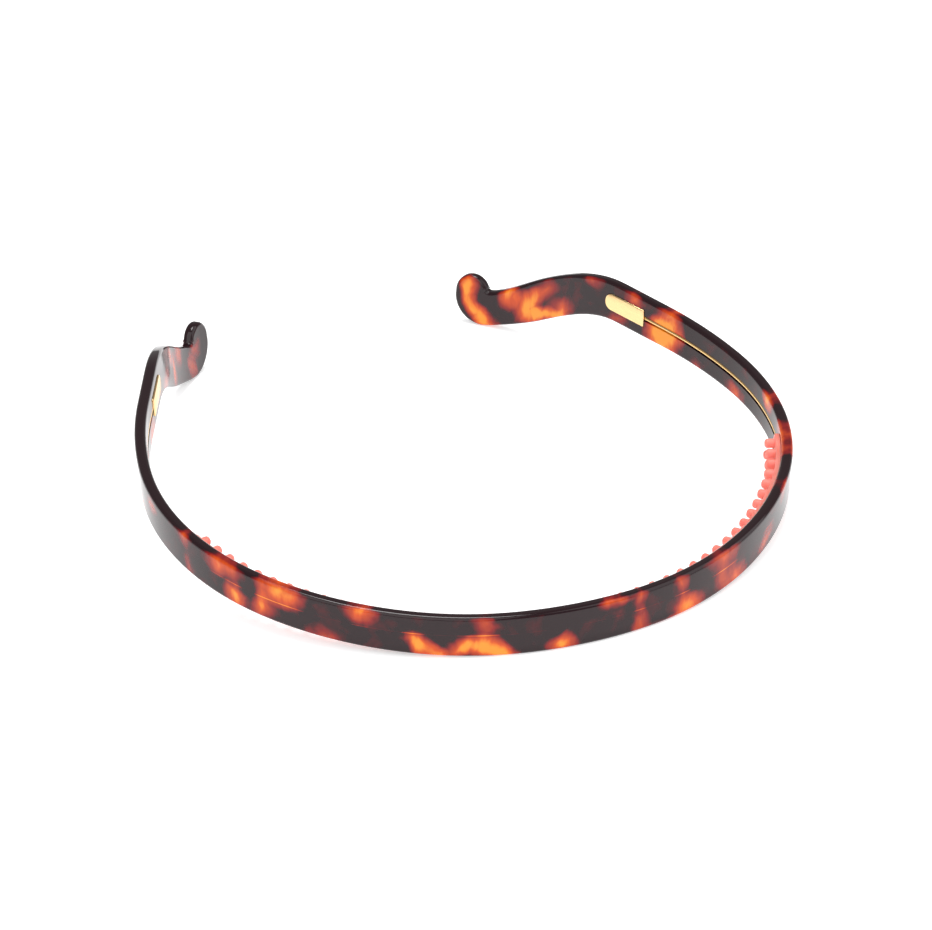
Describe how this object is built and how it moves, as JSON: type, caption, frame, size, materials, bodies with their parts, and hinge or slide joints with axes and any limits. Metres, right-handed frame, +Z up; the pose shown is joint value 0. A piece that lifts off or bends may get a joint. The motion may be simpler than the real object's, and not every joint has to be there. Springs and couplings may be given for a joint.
{
  "type": "headband",
  "caption": "Spectacle-style acetate headband: a bent horseshoe band with a sprung core wire, two metal end plates and a soft comb strip inside the crown.",
  "frame": {"origin": "on the surface the headband lies on, under the middle of its overall box", "axes": "+Z up, -Y towards the crown at the front, +Y towards the two tips, +X to the headband's right arm as seen from the front"},
  "size_m": [0.1406, 0.1498, 0.0219],
  "materials": {
    "acetate": "polished tortoiseshell",
    "gold_plate": "polished",
    "gold_wire": "drawn",
    "silicone": "soft satin"
  },
  "bodies": {
    "left_half": {"band_left_half": "acetate", "left_end_plate": "gold_plate", "core_wire": "gold_wire", "comb_strip": "silicone"},
    "right_half": {"band_right_half": "acetate", "right_end_plate": "gold_plate"}
  },
  "joints": [
    {"name": "arm_spread", "type": "hinge", "parent": "left_half", "child": "right_half", "pos_m": [0, -0.07486, 0.0045], "axis": [0, 0, -1], "range_deg": [0, 15], "stiffness_Nm_per_rad": 0.6, "deforming": ["core_wire", "comb_strip"]}
  ]
}
